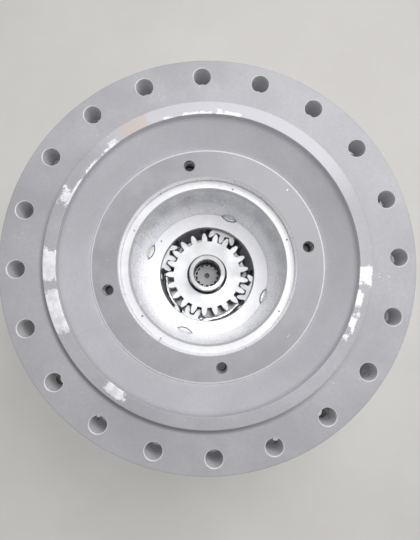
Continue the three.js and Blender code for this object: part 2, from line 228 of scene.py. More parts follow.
def lobed_outline(teeth, root_r, tip_r):
    """A shaft with the round lobes of an involute spline."""
    middle, depth = (root_r + tip_r) / 2, (tip_r - root_r) / 2
    angles = np.linspace(0, 360, teeth * 14, endpoint=False)
    return [polar(middle + depth * math.tanh(1.8 * math.cos(math.radians(a * teeth))) / math.tanh(1.8), a)
            for a in angles]


def meshing(stage):
    """Tooth angles of the sun, planets and ring that mesh, with a gap of the sun facing planet 1."""
    pitch = {part: 360 / stage[part] for part in ("sun", "planet", "ring")}
    sun = stage["phase"] + pitch["sun"] / 2
    planets = [a + 180 + ((a - sun) / pitch["sun"] - 0.5) * pitch["planet"] for a in places(stage)]
    ring = stage["phase"] + ((planets[0] - stage["phase"]) / pitch["planet"] + 0.5) * pitch["ring"]
    return {"sun": sun, "planets": planets, "ring": ring}


def axles(stage):
    """The centres of a stage's planets."""
    orbit = stage["module"] * (stage["sun"] + stage["planet"]) / 2
    return [polar(orbit, angle) for angle in places(stage)]


# ---- Meshes ----

def new_object(name, points, faces):
    """An object of points in millimetres, welded, with its faces turned outwards."""
    mesh = bpy.data.meshes.new(name)
    mesh.from_pydata([(x * MM, y * MM, z * MM) for x, y, z in points], [], faces)
    work = bmesh.new()
    work.from_mesh(mesh)
    bmesh.ops.remove_doubles(work, verts=work.verts, dist=1e-7)
    bmesh.ops.recalc_face_normals(work, faces=work.faces)
    work.to_mesh(mesh)
    work.free()
    piece = bpy.data.objects.new(name, mesh)
    bpy.context.scene.collection.objects.link(piece)
    return piece


def lathe(name, outline, segments=FINE, centre=(0, 0)):
    """A solid turned about an upright axis through centre, from a closed outline of (r, z)."""
    outline = eased(outline)
    count = len(outline)
    points = []
    for i in range(segments):
        c, s = polar(1, i * 360 / segments)
        points += [(centre[0] + r * c, centre[1] + r * s, z) for r, z in outline]
    faces = []
    for i in range(segments):
        here, there = i * count, (i + 1) % segments * count
        for k in range(count):
            nxt = (k + 1) % count
            if outline[k][0] < 1e-6 and outline[nxt][0] < 1e-6:
                continue
            if outline[k][0] < 1e-6:
                faces.append((here + k, here + nxt, there + nxt))
            elif outline[nxt][0] < 1e-6:
                faces.append((here + k, here + nxt, there + k))
            else:
                faces.append((here + k, here + nxt, there + nxt, there + k))
    return new_object(name, points, faces)


def inset(loop, distance):
    """A loop moved sideways to its left by distance, with its corners kept."""
    points = np.array(loop, float)
    ahead = np.roll(points, -1, axis=0) - points
    ahead /= np.linalg.norm(ahead, axis=1, keepdims=True)
    left = np.stack([-ahead[:, 1], ahead[:, 0]], axis=1)
    both = left + np.roll(left, 1, axis=0)
    both /= np.linalg.norm(both, axis=1, keepdims=True)
    stretch = np.clip(np.sum(both * left, axis=1), 0.6, 1)
    return points + both / stretch[:, None] * distance


def area(loop):
    x, y = np.array(loop, float).T
    return float(np.sum(x * np.roll(y, -1) - y * np.roll(x, -1)) / 2)


def prism(name, loops, low, high, chamfer=0.6, centre=(0, 0)):
    """A solid of one section between two heights, with every edge of its ends chamfered.
    The first loop is the outside and the others are holes."""
    ordered = []
    for i, loop in enumerate(loops):
        points = np.array(loop, float) + np.array(centre, float)
        ordered.append(points if (area(points) > 0) == (i == 0) else points[::-1])
    points = []
    faces = []
    caps = [[], []]
    for loop in ordered:
        narrow = inset(loop, chamfer)
        levels = [(narrow, low), (loop, low + chamfer), (loop, high - chamfer), (narrow, high)]
        starts = []
        for outline, z in levels:
            starts.append(len(points))
            points += [(x, y, z) for x, y in outline]
        n = len(loop)
        for a, b in zip(starts, starts[1:]):
            faces += [(a + i, a + (i + 1) % n, b + (i + 1) % n, b + i) for i in range(n)]
        caps[0].append(range(starts[0], starts[0] + n))
        caps[1].append(range(starts[3], starts[3] + n))
    for cap in caps:
        flat = [i for loop in cap for i in loop]
        fill = tessellate_polygon([[Vector(points[i]) for i in loop] for loop in cap])
        faces += [tuple(flat[i] for i in triangle) for triangle in fill]
    return new_object(name, points, faces)


def joined(name, pieces):
    """Several objects as one."""
    work = bmesh.new()
    for piece in pieces:
        work.from_mesh(piece.data)
    mesh = bpy.data.meshes.new(name)
    work.to_mesh(mesh)
    work.free()
    for piece in pieces:
        bpy.data.objects.remove(piece)
    whole = bpy.data.objects.new(name, mesh)
    bpy.context.scene.collection.objects.link(whole)
    return whole


def combine(piece, tools, operation="DIFFERENCE"):
    """Cuts or adds tools, which are used up."""
    tool = joined("tool", tools)
    step = piece.modifiers.new("cut", "BOOLEAN")
    step.operation = operation
    step.solver = "EXACT"
    step.object = tool
    bpy.context.view_layer.update()
    graph = bpy.context.evaluated_depsgraph_get()
    mesh = bpy.data.meshes.new_from_object(piece.evaluated_get(graph))
    piece.modifiers.clear()
    piece.data = mesh
    bpy.data.objects.remove(tool)


def drill(centre, radius, low, high, chamfer, through=True, segments=SMALL):
    """A cutter for a hole with a chamfered mouth, and a chamfered foot where it goes through."""
    foot = [(0, low), (radius, low)]
    if through:
        foot = [(0, low - 1), (radius + chamfer + 1, low - 1), (radius, low + chamfer)]
    mouth = [(radius, high - chamfer), (radius + chamfer + 1, high + 1), (0, high + 1)]
    return lathe("drill", foot + mouth, segments, centre)


def drills(pattern, low, high, chamfer):
    return [drill(centre, pattern["radius"], low, high, chamfer) for centre in spots(pattern)]


def socket(centre, low):
    """A cutter for the hexagon socket in a screw head whose face is at low."""
    return prism("socket", [circle(SOCKET_R, 6, centre)], low - 1, low + SOCKET_DEEP, 0.3)


def dress(piece, body, material_slot, look, *nodes, zones=None):
    """Material, shading, body and the frame nodes that a piece stands for. material_slot is not used.
    With zones, look holds named materials, and zones(radius, height, upward) names the one for a face,
    in millimetres and with 1 for a face that looks straight up."""
    piece.data.materials.clear()
    for material in look.values() if zones else [look]:
        piece.data.materials.append(material)
    if zones:
        names = list(look)
        for face in piece.data.polygons:
            x, y, z = face.center
            face.material_index = names.index(zones(math.hypot(x, y) / MM, z / MM, face.normal.z))
    piece.data.polygons.foreach_set("use_smooth", [True] * len(piece.data.polygons))
    piece.data.set_sharp_from_angle(angle=SHARP)
    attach(piece, body)
    if nodes:
        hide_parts(*nodes)


# ---- Materials ----

class Look:
    """A material's node tree, with short calls for the nodes that the looks are made of."""

    def __init__(self, name, metallic=0.0, specular=0.5, coat=0.0):
        self.material = bpy.data.materials.new(name)
        self.material.use_nodes = True
        self.tree = self.material.node_tree
        self.shader = self.tree.nodes["Principled BSDF"]
        self.shader.inputs["Metallic"].default_value = metallic
        self.shader.inputs["Specular IOR Level"].default_value = specular
        self.shader.inputs["Coat Weight"].default_value = coat
        self.place = self.tree.nodes.new("ShaderNodeTexCoord").outputs["Object"]
        parts = self.tree.nodes.new("ShaderNodeSeparateXYZ")
        self.tree.links.new(self.place, parts.inputs[0])
        self.x, self.y, self.z = parts.outputs
        squares = self.math("ADD", self.times(self.x, self.x), self.times(self.y, self.y))
        self.radius = self.math("SQRT", squares)
        self.angle = self.times(self.math("ARCTAN2", self.y, self.x), 180 / math.pi)

    def put(self, socket, value):
        if isinstance(value, bpy.types.NodeSocket):
            self.tree.links.new(value, socket)
        else:
            socket.default_value = value

    def math(self, operation, *values):
        node = self.tree.nodes.new("ShaderNodeMath")
        node.operation = operation
        for socket, value in zip(node.inputs, values):
            self.put(socket, value)
        return node.outputs[0]

    def times(self, first, second):
        return self.math("MULTIPLY", first, second)

    def span(self, value, low, high, start=0.0, end=1.0):
        """value from low..high to start..end, held at both ends."""
        node = self.tree.nodes.new("ShaderNodeMapRange")
        node.interpolation_type = "SMOOTHSTEP"
        for name, setting in (("Value", value), ("From Min", low), ("From Max", high),
                              ("To Min", start), ("To Max", end)):
            self.put(node.inputs[name], setting)
        return node.outputs[0]

    def noise(self, scale, detail, roughness, place=None):
        node = self.tree.nodes.new("ShaderNodeTexNoise")
        self.put(node.inputs["Vector"], place or self.place)
        for name, value in (("Scale", scale), ("Detail", detail), ("Roughness", roughness)):
            node.inputs[name].default_value = value
        return node.outputs["Fac"]

    def specks(self, scale, size, rarity):
        """1 on small round spots, which are missing from the share of cells named by rarity."""
        node = self.tree.nodes.new("ShaderNodeTexVoronoi")
        self.put(node.inputs["Vector"], self.place)
        node.inputs["Scale"].default_value = scale
        parts = self.tree.nodes.new("ShaderNodeSeparateColor")
        self.tree.links.new(node.outputs["Color"], parts.inputs[0])
        spot = self.span(node.outputs["Distance"], size, size * 1.6, 1.0, 0.0)
        return self.times(spot, self.span(parts.outputs[0], rarity, rarity + 0.02))

    def vector(self, x, y, z):
        node = self.tree.nodes.new("ShaderNodeCombineXYZ")
        for socket, value in zip(node.inputs, (x, y, z)):
            self.put(socket, value)
        return node.outputs[0]

    def turned_place(self, along=0.02):
        """Coordinates stretched round the axis, for lathe marks: fine across, long around."""
        return self.vector(self.radius, self.times(self.angle, along / RADIAN), self.z)

    def mix(self, share, first, second):
        node = self.tree.nodes.new("ShaderNodeMix")
        node.data_type = "RGBA"
        self.put(node.inputs["Factor"], share)
        for name, value in (("A", first), ("B", second)):
            sockets = [s for s in node.inputs if s.name == name and s.type == "RGBA"]
            self.put(sockets[0], value if isinstance(value, bpy.types.NodeSocket) else (*value, 1.0))
        return [s for s in node.outputs if s.type == "RGBA"][0]

    def within(self, middle, half, soft=1.0, wobble=None):
        """1 where the angle round the axis is within half degrees of middle, wobbling at its ends."""
        middle = (middle + 180) % 360 - 180
        away = self.math("ABSOLUTE", self.math("SUBTRACT", self.angle, middle))
        away = self.math("MINIMUM", away, self.math("SUBTRACT", 360.0, away))
        if wobble is not None:
            away = self.math("ADD", away, wobble)
        return self.span(away, half - soft, half + soft, 1.0, 0.0)

    def bump(self, height, distance, strength=1.0):
        node = self.tree.nodes.new("ShaderNodeBump")
        node.inputs["Strength"].default_value = strength
        node.inputs["Distance"].default_value = distance
        self.put(node.inputs["Height"], height)
        self.tree.links.new(node.outputs[0], self.shader.inputs["Normal"])

    def finish(self, color, roughness):
        flat = not isinstance(color, bpy.types.NodeSocket)
        self.put(self.shader.inputs["Base Color"], (*color, 1.0) if flat else color)
        self.put(self.shader.inputs["Roughness"], roughness)
        return self.material


def tinted(tone):
    """The grey of the paint, which is very slightly violet."""
    return tone * 1.01, tone, tone * 1.06


def paint(name, tone, cast=0.0):
    """Light grey satin paint. cast adds the grain of a sand casting under it."""
    look = Look(name, specular=0.45)
    cloud = look.noise(9, 5, 0.6)
    grain = look.noise(420, 3, 0.6)
    light = tinted(tone * 1.05)
    dark = tinted(tone * 0.93)
    color = look.mix(look.span(cloud, 0.3, 0.7), dark, light)
    dust = look.noise(300, 3, 0.6)
    color = look.mix(look.span(dust, 0.35, 0.65, 0.0, 0.12), color, tinted(tone * 0.6))
    speck = look.span(look.noise(170, 2, 0.5), 0.72, 0.78)
    color = look.mix(look.times(speck, 0.35), color, (tone * 1.5, tone * 1.5, tone * 1.52))
    height = look.math("ADD", look.times(grain, 0.25 + cast), look.noise(1400, 2, 0.5))
    look.bump(height, 0.0002 + 0.0006 * cast, 0.35)
    return look.finish(color, look.span(grain, 0.3, 0.7, 0.42, 0.58))


def ring_paint(name):
    """The paint of the flange and pilot ring, with bare patches where handling has taken it off the ring, and
    painted shadow and shade on its lower left side.
    """
    look = Look(name, specular=0.45)
    cloud = look.noise(7, 5, 0.6)
    color = look.mix(look.span(cloud, 0.3, 0.7), tinted(0.33), tinted(0.41))
    fleck = look.noise(240, 4, 0.7)
    color = look.mix(look.span(fleck, 0.35, 0.65, 0.15, 0.0), color, tinted(0.22))
    color = look.mix(look.span(fleck, 0.70, 0.76, 0.0, 0.5), color, (0.72, 0.72, 0.74))

    # Only the ring's top and its inner edge have lost paint.
    on_ring = look.times(look.span(look.radius, 0.2172, 0.2178), look.span(look.radius, 0.2366, 0.2376, 1, 0))
    on_ring = look.times(on_ring, look.span(look.z, (RING_Z - 3) * MM, (RING_Z - 1) * MM))
    ragged = look.times(look.math("SUBTRACT", look.noise(60, 8, 0.75), 0.5), 16.0)
    across = look.span(look.radius, 0.218, 0.238)  # 0 at the inner edge, 1 at the outer edge

    def patch(middle, half, reach):
        """A peeled stretch of half degrees to each side of middle. It reaches out from the inner edge
        by reach, a share of the ring's width."""
        ends = look.within(middle, half, 0.5, ragged)
        edge = look.math("ADD", across, look.times(ragged, 0.07))
        return look.times(ends, look.span(edge, reach - 0.03, reach + 0.03, 1.0, 0.0))

    patches = ((181.5, 6.0, 1.2), (198, 8.0, 1.25), (155.5, 2.6, 0.95), (234, 3.5, 0.75), (-13.5, 2.5, 0.5),
               (128, 1.0, 0.4), (-23, 2.6, 0.55), (-4.5, 3.2, 1.0), (-28, 1.2, 0.35), (140, 14.0, 0.08),
               (80, 3.4, 0.22), (98, 9.0, 0.08), (86, 1.2, 0.5))
    peeled = patch(*patches[0])
    for place in patches[1:]:
        peeled = look.math("MAXIMUM", peeled, patch(*place))
    chips = look.span(look.noise(330, 3, 0.6), 0.66, 0.69)
    chips = look.times(chips, look.span(look.noise(14, 2, 0.5), 0.55, 0.66))
    peeled = look.math("MAXIMUM", look.times(peeled, on_ring), look.times(chips, 0.8))

    # Dust and the print of a strip of tape are on the ring too.
    dusty = look.times(look.within(78, 46, 14.0), on_ring)
    color = look.mix(look.times(dusty, 0.45), color, (0.62, 0.62, 0.66))
    tape = look.times(look.within(118.5, 5.2, 0.3, look.times(ragged, 0.12)), on_ring)
    color = look.mix(look.times(tape, 0.65), color, (0.50, 0.42, 0.37))
    bare = look.mix(look.span(look.noise(90, 4, 0.6), 0.35, 0.7), (0.66, 0.66, 0.70), (0.90, 0.90, 0.90))
    color = look.mix(peeled, color, bare)

    # On the lower left a painted shadow of the ring lies along its foot, and painted shade darkens the paint
    # around it.
    shadow_band = look.span(look.radius, 0.2425, 0.2480, 0.75, 0.0)
    ring_shadow = look.times(look.within(238, 62, 40.0), shadow_band)
    foot = look.span(look.z, (RING_Z - 9) * MM, (RING_Z - 8) * MM, 1.0, 0.0)
    color = look.mix(look.times(ring_shadow, foot), color, tinted(0.10))
    # Painted shade: the flange and ring grow darker towards the lower left.
    lower_left_shade = look.times(look.within(222, 70, 60.0), 0.22)
    color = look.mix(lower_left_shade, color, tinted(0.20))
    height = look.math("SUBTRACT", look.noise(900, 3, 0.5), look.times(peeled, 3.0))
    look.bump(height, 0.00022, 0.4)
    roughness = look.math("SUBTRACT", look.span(cloud, 0.3, 0.7, 0.44, 0.56), look.times(peeled, 0.1))
    return look.finish(color, roughness)


def turned_paint(name):
    """A machined face under a thin grey coat: faint rings and streaks show through."""
    look = Look(name, specular=0.5)
    marks = look.noise(160, 4, 0.7, look.turned_place(0.05))
    streak = look.noise(16, 5, 0.65)
    color = look.mix(look.span(streak, 0.3, 0.7), tinted(0.25), tinted(0.32))
    color = look.mix(look.span(marks, 0.62, 0.75, 0.0, 0.2), color, tinted(0.55))
    chipped_place = look.times(look.within(-33, 5.0, 3.0), look.span(look.radius, 0.146, 0.151, 1, 0))
    chip = look.times(look.span(look.noise(120, 4, 0.7), 0.60, 0.64), chipped_place)
    spot = look.span(look.noise(210, 2, 0.5), 0.755, 0.775, 0.0, 0.8)
    color = look.mix(look.math("MAXIMUM", chip, spot), color, (0.95, 0.95, 0.97))
    look.bump(marks, 0.0001, 0.3)
    return look.finish(color, look.span(streak, 0.3, 0.7, 0.40, 0.52))


def bright_steel(name, tone, stains=True, around=0.03, roughness=0.34, metallic=0.35, relief=0.5):
    """Freshly turned steel: very light, with lathe rings and a few dark specks."""
    look = Look(name, metallic=metallic)
    rings = look.noise(900, 3, 0.6, look.turned_place(around))
    broad = look.noise(14, 4, 0.6, look.turned_place(0.3))
    color = look.mix(look.span(broad, 0.35, 0.7), (tone * 0.93, tone * 0.93, tone * 0.97), (tone,) * 3)
    color = look.mix(look.span(rings, 0.35, 0.62, 0.25, 0.0), color, (tone * 0.8, tone * 0.8, tone * 0.82))
    if stains:
        color = look.mix(look.specks(70, 0.09, 0.72), color, (0.12, 0.12, 0.12))
    look.bump(rings, 0.00006, relief)
    return look.finish(color, look.span(rings, 0.3, 0.7, roughness - 0.06, roughness + 0.08))


def gear_steel(name, tone):
    """Ground gear steel with a thin film of oil."""
    look = Look(name, metallic=0.4, coat=0.1)
    film = look.noise(38, 5, 0.6)
    marks = look.noise(700, 3, 0.6)
    color = look.mix(look.span(film, 0.35, 0.7), (tone * 0.90, tone * 0.91, tone * 0.95), (tone,) * 3)
    color = look.mix(look.span(look.noise(120, 3, 0.6), 0.66, 0.76, 0.0, 0.5), color, (0.42, 0.42, 0.43))
    look.bump(marks, 0.00005, 0.4)
    return look.finish(color, look.span(film, 0.3, 0.7, 0.44, 0.58))


def dark_metal(name, tone, metallic=0.7, low=0.32, high=0.5):
    """Black oxide or raw dark iron, slightly uneven."""
    look = Look(name, metallic=metallic)
    film = look.noise(60, 5, 0.6)
    color = look.mix(look.span(film, 0.3, 0.7), (tone * 0.75,) * 3, (tone * 1.2, tone * 1.2, tone * 1.25))
    look.bump(look.noise(900, 3, 0.5), 0.00008, 0.4)
    return look.finish(color, look.span(film, 0.3, 0.7, low, high))


def bronze(name):
    look = Look(name, metallic=0.9)
    film = look.noise(50, 4, 0.6)
    color = look.mix(look.span(film, 0.3, 0.7), (0.42, 0.26, 0.10), (0.66, 0.45, 0.20))
    look.bump(look.noise(800, 3, 0.5), 0.00006, 0.4)
    return look.finish(color, look.span(film, 0.3, 0.7, 0.28, 0.42))


def rubber(name):
    look = Look(name, specular=0.35)
    film = look.noise(80, 4, 0.6)
    color = look.mix(look.span(film, 0.3, 0.7), (0.016, 0.016, 0.017), (0.035, 0.035, 0.036))
    look.bump(look.noise(1500, 2, 0.5), 0.00008, 0.5)
    return look.finish(color, look.span(film, 0.3, 0.7, 0.55, 0.72))


def pale_floor(name):
    look = Look(name, specular=0.25)
    cloud = look.noise(3, 4, 0.6)
    color = look.mix(look.span(cloud, 0.3, 0.7), (0.66, 0.64, 0.61), (0.70, 0.68, 0.65))
    look.bump(look.noise(260, 3, 0.5), 0.0003, 0.2)
    return look.finish(color, 0.75)


RING_PAINT = ring_paint("flange_paint")
CAST_PAINT = paint("cast_paint", tone=0.435, cast=1.0)
HUB_PAINT = paint("hub_paint", tone=0.38, cast=0.6)
# A lighter copy of the grey paint for the pilot wall: painted light, standing in for light that the
# inward-facing wall lacks.
WALL_PAINTED_LIGHT = paint("pilot_wall_painted_light", tone=0.50)
SMOOTH_PAINT = paint("smooth_paint", tone=0.40)
FACE_PAINT = turned_paint("hub_face_paint")
BRIGHT = bright_steel("bright_seat", tone=0.62, roughness=0.5)
BORE = bright_steel("bright_bore", tone=0.98, metallic=0.75, roughness=0.27, relief=0.06)
EDGE = bright_steel("bright_edge", tone=0.82, stains=False, roughness=0.45)
# Steel for the walls of the flange's bolt holes, given a light tone as painted light, since little lamp light
# reaches them.
HOLE_STEEL_PAINTED_LIGHT = bright_steel("hole_steel_painted_light", tone=0.72, around=2.0, roughness=0.6, metallic=0.0)
# A greyer steel for the bore's lead-in: painted shade at the top of the bore wall.
LEAD_IN_SHADE_STEEL = bright_steel("lead_in_shade_steel", tone=0.75, stains=False, roughness=0.5)
TURNED = bright_steel("turned_steel", tone=0.62, stains=False, metallic=0.85, roughness=0.38)
CARRIER_STEEL = bright_steel("carrier_steel", tone=0.71, roughness=0.5)
GEAR = gear_steel("gear_steel", 0.60)
# Steel darkened by oil and by painted shade, for the sleeve's splined socket and the ring gears' teeth.
OIL_AND_SHADE_DARK = dark_metal("gear_oil_and_shade_steel", 0.16, metallic=0.8)
THREAD = dark_metal("thread_steel", 0.36, metallic=0.8, low=0.25, high=0.4)
SLEEVE_STEEL = gear_steel("sleeve_steel", 0.42)
SHAFT_STEEL = dark_metal("shaft_steel", 0.36, metallic=0.5, low=0.5, high=0.65)
BLACK = dark_metal("black_oxide", 0.05)
RACE = bright_steel("race_steel", tone=0.72, stains=False, metallic=0.9, roughness=0.22)
BRONZE = bronze("bronze")
RUBBER = rubber("seal_rubber")


# ---- Spindle ----

def make_spindle():
    """The casting that bolts to the track frame, with the well that takes the motor."""
    face_z, seat_z = MOTOR_FACE_Z, MOTOR_SEAT_Z
    under = FLANGE_Z - FLANGE_THICK
    rim_z = FLANGE_Z - RIM_ROOM["thick"]
    rim_r = RIM_ROOM["radius"]
    spindle = lathe("spindle", [
        # Nose, seats of the two inner races and the room for the seal
        (115.5, NOSE_Z, 1.2), (160, NOSE_Z, 1.5), (160, 430, 1.5, 3), (176, 430, 1), (206, 437, 1.2),
        (206, 473, 2.5, 4), (232.5, 473, 2.5, 4), (232.5, 457, 1), (243, 457, 1.5),
        # Flange and pilot ring
        (243, rim_z, 3.5, 5), (rim_r, rim_z, 3.5, 5), (rim_r, under, 1.5),
        (FLANGE_R, under, 2.5), (FLANGE_R, FLANGE_Z, 1.8, 3), (PILOT["outer"], FLANGE_Z, 0.8, 3),
        (PILOT["outer"], RING_Z, 1.2, 2), (PILOT["inner"], RING_Z, 1.2, 2),
        # Recess down to the motor face, with a groove at its foot
        (217, FLANGE_Z - 1, 3.0, 5), (182.4, face_z - 1.4, 1.5, 2), (180.6, face_z - 2.8),
        (179.7, face_z - 1.8), (177.3, face_z), (137.6, face_z, 1.1),
        # Motor seat with an undercut, and the mouth of the bore
        (137, seat_z + 1.6), (137.9, seat_z + 0.9), (137.9, seat_z - 0.6), (136.4, seat_z - 0.6),
        (136.2, seat_z), (124.8, seat_z, 0.6), (122.2, seat_z - 8),
    ])
    hole_r = MOTOR_HOLE["radius"]
    hole_end = face_z - MOTOR_HOLE["deep"]
    centres = [polar(MOTOR_BOLT_CIRCLE, angle) for angle in MOTOR_BOLT_ANGLES]
    tools = drills(FLANGE_BOLTS, under, FLANGE_Z, 1.3)
    for centre in centres:
        point = [(0, hole_end - MOTOR_HOLE["point"]), (hole_r, hole_end + 0.1), (0, hole_end + 0.1)]
        tools.append(drill(centre, hole_r, hole_end, face_z, 0.9, through=False))
        tools.append(lathe("point", point, SMALL, centre))
    for centre in spots(CARRIER_BOLTS):
        tools.append(drill(centre, CARRIER_BOLTS["radius"], NOSE_Z, 350, 1.0))
    combine(spindle, tools)

    def zones(r, z, up):
        upright = abs(up) < 0.3
        # Painted light: the bolt-hole walls take the lightened steel.
        if 265 < r < 295 and z > under - 1 and abs(up) < 0.9:
            return "hole" if upright or z < FLANGE_Z - 3 else "edge"
        # Painted light: the inward-facing pilot wall takes the lighter copy of the paint.
        if 216.5 < r < PILOT["inner"] - 0.1 and z > FLANGE_Z - 3 and up < 0.5:
            return "pilot wall"
        if r > 216.8 and z > FLANGE_Z - 3:
            return "flange"
        if 179.7 < r <= PILOT["inner"] and z > face_z - 4:
            return "recess"
        if 177.3 < r <= 179.7 and z > face_z - 3 and up < 0.99:
            return "edge"
        if 138.2 < r <= 178 and z > face_z - 0.05:
            return "motor face"
        # The bottoms of the tapped holes take the black material as painted shade.
        if 148 < r < 166 and face_z - 36 < z:
            return "thread" if z > hole_end + 0.4 else "shaded hole end"
        # Painted shade: the lead-in at the mouth of the bore takes the greyer steel.
        if 122 < r < 124.8 and seat_z - 9 < z < seat_z - 0.4:
            return "lead-in"
        if r < 138.8 and z > NOSE_Z + 0.1:
            return "bore" if upright else "seat"
        if z <= 431 and r < 180:
            return "race seat"
        return "outside"

    looks = {"flange": RING_PAINT, "recess": CAST_PAINT, "motor face": FACE_PAINT, "seat": BRIGHT,
             "edge": EDGE, "race seat": TURNED, "thread": THREAD, "outside": SMOOTH_PAINT, "bore": BORE,
             "hole": HOLE_STEEL_PAINTED_LIGHT, "lead-in": LEAD_IN_SHADE_STEEL, "shaded hole end": BLACK, "pilot wall": WALL_PAINTED_LIGHT}
    dress(spindle, "spindle", "frame_paint", looks, "spindle_flange", zones=zones)
    low, high = face_z - 27, face_z - 1.6
    for i, centre in enumerate(centres):
        thread(f"motor_thread_{i + 1}", centre, hole_r + 0.15, hole_r - 1.05, MOTOR_HOLE["pitch"], low, high)


def thread(name, centre, outer, inner, pitch, low, high):
    """A helical ridge on the wall of a tapped hole."""
    steps = 24
    turns = (high - low) / pitch - 1
    count = int(turns * steps)
    points = []
    for i in range(count + 1):
        z = low + pitch * i / steps
        fade = min(1.0, i / steps, (count - i) / steps)
        tip = outer - 0.1 - (outer - inner - 0.1) * max(fade, 0.02)
        for r, dz in ((outer, 0.0), (tip, pitch * 0.44), (tip, pitch * 0.56), (outer, pitch * 0.98)):
            x, y = polar(r, i * 360 / steps)
            points.append((centre[0] + x, centre[1] + y, z + dz))
    faces = [(0, 1, 2, 3), tuple(range(4 * count, 4 * count + 4))]
    for i in range(count):
        a, b = 4 * i, 4 * i + 4
        faces += [(a + k, a + (k + 1) % 4, b + (k + 1) % 4, b + k) for k in range(4)]
    dress(new_object(name, points, faces), "spindle", "frame_paint", THREAD)


# ---- Bearings and seals ----

def make_bearing(name, balls_body):
    """An angular contact ball bearing: grooved races, forty balls and a cage."""
    low, high = heights(f"{name}_inner_race")
    middle = (low + high + FACE_GAP) / 2
    count = 40
    ball_r = 10.8
    groove = ball_r + 0.25
    inner_r, circle_r = 160.3, 181.0
    lip = math.radians(38)

    def arc(start, end, steps=10):
        """The inner race's groove between two angles, measured downwards from the ball's middle."""
        angles = np.linspace(start, end, steps)
        return [(circle_r - groove * math.cos(a), middle - groove * math.sin(a)) for a in angles]

    inner = [(inner_r, low, 1.5, 3), (174.5, low, 0.6)] + arc(math.radians(55), -lip)
    inner += [(circle_r - groove * math.cos(lip), high, 0.4), (inner_r, high, 1.5, 3)]
    outer = [(2 * circle_r - r, 2 * middle - z, *rest) for r, z, *rest in inner]
    piece = lathe(f"{name}_bearing_inner", inner, 160)
    dress(piece, "spindle", "bearing_steel", RACE, f"{name}_inner_race")
    piece = lathe(f"{name}_bearing_outer", outer, 160)
    dress(piece, "hub", "bearing_steel", RACE, f"{name}_outer_race")

    arch = [polar(ball_r, a) for a in range(-90, 91, 15)]
    ball = [(x, middle + z) for x, z in arch]
    balls = [lathe("ball", ball, 20, centre) for centre in circle(circle_r, count)]
    wall, tall = 1.6, 8.5  # half the width and height of the cage
    corners = ((-wall, -tall), (wall, -tall), (wall, tall), (-wall, tall))
    cage = lathe(f"{name}_bearing_cage", [(circle_r + x, middle + z, 0.5) for x, z in corners], 160)
    room = [(0, middle - ball_r), *((r * 1.02, z) for r, z in ball[1:-1]), (0, middle + ball_r)]
    combine(cage, [lathe("pocket", room, 16, centre) for centre in circle(circle_r, count)])
    dress(cage, balls_body, "bronze", BRONZE)
    dress(joined(f"{name}_bearing_balls", balls), balls_body, "bearing_steel", RACE, f"{name}_ball_set")


def make_seal(name, body, side):
    """One half of the floating seal, a lapped metal ring on its rubber ring. It is above the joint
    where side is 1, and below it where side is -1."""
    joint_z = 455.0
    toric = {"circle": 225.4, "height": 9.6, "radius": 5.2}

    def at(r, up, *rest):
        return (r, joint_z + side * up, *rest)

    ring = [at(210, 0.2, 0.4), at(221.5, 0.2, 1.0), at(221.5, 4.5, 1.0, 3), at(218.5, 9), at(219.5, 15, 0.6),
            at(210.5, 15, 0.8), at(211.5, 4)]
    dress(lathe(f"{name}_seal_face_ring", ring, 192), body, "bearing_steel", RACE, f"{name}_seal_ring")
    section = circle(toric["radius"], 19, (toric["circle"], toric["height"]))
    toric_ring = lathe(f"{name}_seal_toric", [at(r, up) for r, up in section], 192)
    dress(toric_ring, body, "rubber", RUBBER, f"{name}_seal_rubber")


# ---- Gears and carriers ----

def make_planets(stage, name, pin_name=None, pin_body=None):
    """The planets of one stage with their rollers, and their pins where these are separate."""
    phases = meshing(stage)["planets"]
    pin_r = stage["pin"]
    for i, centre in enumerate(axles(stage)):
        node = f"{name}_planet_{i + 1}"
        low, high = heights(node)
        teeth = gear_outline(stage["planet"], stage["module"], phases[i])
        bore = circle(pin_r + 2 * ROLLER_LANE, MEDIUM)
        wheel = prism(f"{name}_planet_gear_{i + 1}", [teeth, bore], low, high, 0.9, centre)
        dress(wheel, node, "gear_steel", GEAR, node)
        roller = [(0, low + 4), (ROLLER_R, low + 4, 0.3), (ROLLER_R, high - 4, 0.3), (0, high - 4)]
        lane = circle(pin_r + ROLLER_LANE, stage["rollers"], centre)
        rollers = [lathe("roller", roller, 10, spot) for spot in lane]
        dress(joined(f"{name}_planet_rollers_{i + 1}", rollers), node, "bearing_steel", RACE)
        if pin_name:
            make_pin(f"{pin_name}_turned_{i + 1}", f"{pin_name}_{i + 1}", pin_r, centre, pin_body)


def make_pin(name, node, radius, centre, body):
    """A planet's pin, with an oil hole in its upper end."""
    low, high = heights(node)
    oil_r, oil_deep = 3.2, 24
    pin = lathe(name, [
        (0, low), (radius, low, 1.2), (radius, high, 1.2), (oil_r, high, 0.8), (oil_r, high - oil_deep),
        (0, high - oil_deep)], MEDIUM, centre)
    dress(pin, body, "gear_steel", GEAR, node)


def pocketed(carrier, stage, room_low, room_high, hole_r, low, high):
    """Cuts a carrier's room for each planet, and the hole for its pin from low to high."""
    room_r = stage["module"] * (stage["planet"] + 2) / 2 + 3
    room = [(0, room_low), (room_r, room_low, 3, 3), (room_r, room_high, 3, 3), (0, room_high)]
    tools = []
    for centre in axles(stage):
        tools.append(lathe("room", room, MEDIUM, centre))
        tools.append(drill(centre, hole_r, low, high, 0.8, segments=MEDIUM))
    combine(carrier, tools)


def make_final_stage():
    make_final_carrier()
    for i, centre in enumerate(spots(CARRIER_BOLTS)):
        carrier_bolt(i + 1, centre)
    make_planets(FINAL, "final", "final_pin", "spindle")
    make_final_sun()
    ring_gear(FINAL, "final_ring_gear", "final_stage_ring")


